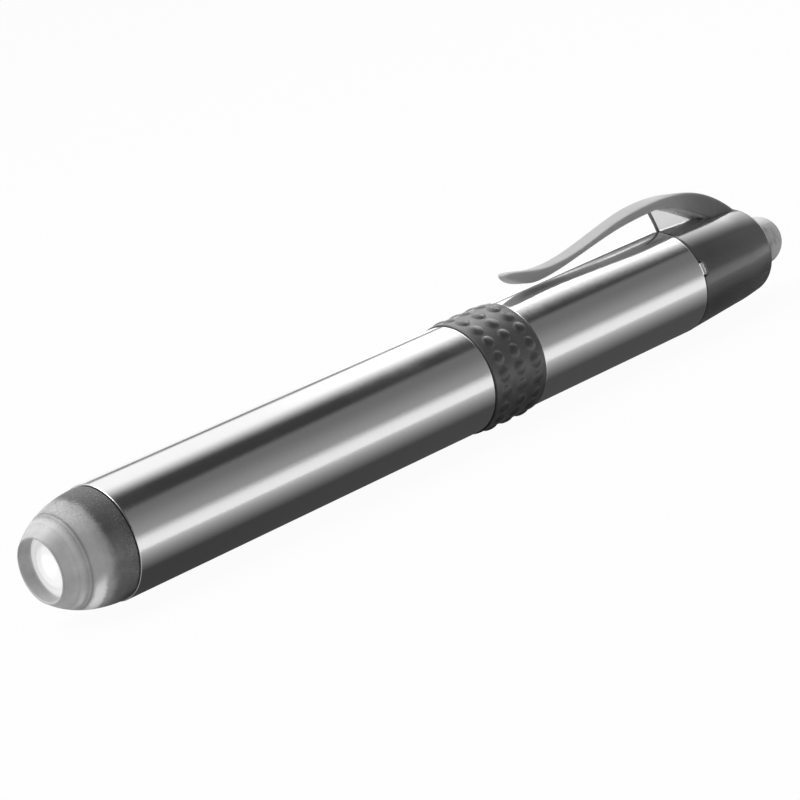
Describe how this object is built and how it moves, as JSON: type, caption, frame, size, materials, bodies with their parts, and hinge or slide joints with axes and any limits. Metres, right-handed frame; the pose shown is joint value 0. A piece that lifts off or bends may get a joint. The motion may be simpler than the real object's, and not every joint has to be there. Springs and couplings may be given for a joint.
{
  "type": "penlight",
  "caption": "Pocket penlight: steel barrel in two screwed halves, rubber grip ring, frosted nose with a lens, tail push-button and strap clip.",
  "frame": {"origin": "on the barrel's axis, at the middle of the front tube", "axes": "+X along the barrel from the nose to the push-button, +Z towards the clip"},
  "size_m": [0.1285, 0.0148, 0.0188],
  "materials": {
    "nose_cone": "frosted translucent",
    "lens": "clear, polished",
    "reflector": "bright",
    "led": "clear epoxy",
    "led_leads": "tinned",
    "lamp_holder": "moulded",
    "lamp_board": "solder-masked board",
    "resistor": "coated",
    "front_contact": "stamped",
    "ground_ring": "stamped",
    "nose_oring": "smooth",
    "front_tube": "fine brushed, bright",
    "battery_sleeve": "thin insulating film",
    "front_cell_can": "plated",
    "front_cell_jacket": "plain printed film",
    "front_cell_cap": "plated",
    "rear_cell_can": "plated",
    "rear_cell_jacket": "plain printed film",
    "rear_cell_cap": "plated",
    "coupler": "turned",
    "grip_ring": "satin with nubs",
    "joint_oring": "smooth",
    "tail_spring": "drawn wire",
    "rear_tube": "fine brushed, bright",
    "threaded_bush": "turned",
    "rear_cap": "dark translucent",
    "cap_oring": "smooth",
    "ground_strip": "bright plated",
    "switch_retainer": "moulded",
    "switch_body": "moulded",
    "switch_lid": "moulded",
    "tail_contact": "turned",
    "button_spring": "drawn wire",
    "clip_arm": "translucent",
    "push_button": "frosted translucent",
    "plunger": "moulded",
    "contact_disc": "stamped"
  },
  "bodies": {
    "front_half": {"nose_cone": "nose_cone", "lens": "lens", "reflector": "reflector", "led": "led", "led_leads": "led_leads", "lamp_holder": "lamp_holder", "lamp_board": "lamp_board", "resistor": "resistor", "front_contact": "front_contact", "ground_ring": "ground_ring", "nose_oring": "nose_oring", "front_tube": "front_tube", "battery_sleeve": "battery_sleeve", "front_cell_can": "front_cell_can", "front_cell_jacket": "front_cell_jacket", "front_cell_cap": "front_cell_cap", "rear_cell_can": "rear_cell_can", "rear_cell_jacket": "rear_cell_jacket", "rear_cell_cap": "rear_cell_cap", "coupler": "coupler", "grip_ring": "grip_ring", "joint_oring": "joint_oring"},
    "tail_spring": {"tail_spring": "tail_spring"},
    "rear_half": {"rear_tube": "rear_tube", "threaded_bush": "threaded_bush", "rear_cap": "rear_cap", "cap_oring": "cap_oring", "ground_strip": "ground_strip", "switch_retainer": "switch_retainer", "switch_body": "switch_body", "switch_lid": "switch_lid", "tail_contact": "tail_contact", "button_spring": "button_spring"},
    "clip": {"clip_arm": "clip_arm"},
    "button": {"push_button": "push_button", "plunger": "plunger", "contact_disc": "contact_disc"}
  },
  "joints": [
    {"name": "half_draw", "type": "slide", "parent": "front_half", "child": "tail_spring", "axis": [1, 0, 0], "range_m": [0, 0.006]},
    {"name": "half_twist", "type": "hinge", "parent": "tail_spring", "child": "rear_half", "pos_m": [0.05275, 0, 0], "axis": [1, 0, 0], "range_deg": [0, 2160]},
    {"name": "button_press", "type": "slide", "parent": "rear_half", "child": "button", "axis": [-1, 0, 0], "range_m": [0, 0.002], "stiffness_N_per_m": 500, "springref_m": -0.002, "deforming": ["button_spring"]},
    {"name": "clip_flex", "type": "hinge", "parent": "rear_half", "child": "clip", "pos_m": [0.06757, 0, 0.01073], "axis": [0, 1, 0], "range_deg": [0, 6], "stiffness_Nm_per_rad": 0.8}
  ],
  "couplings": [
    {"joint": "half_twist", "follows": "half_draw", "rad_per_m": 6283.2}
  ]
}
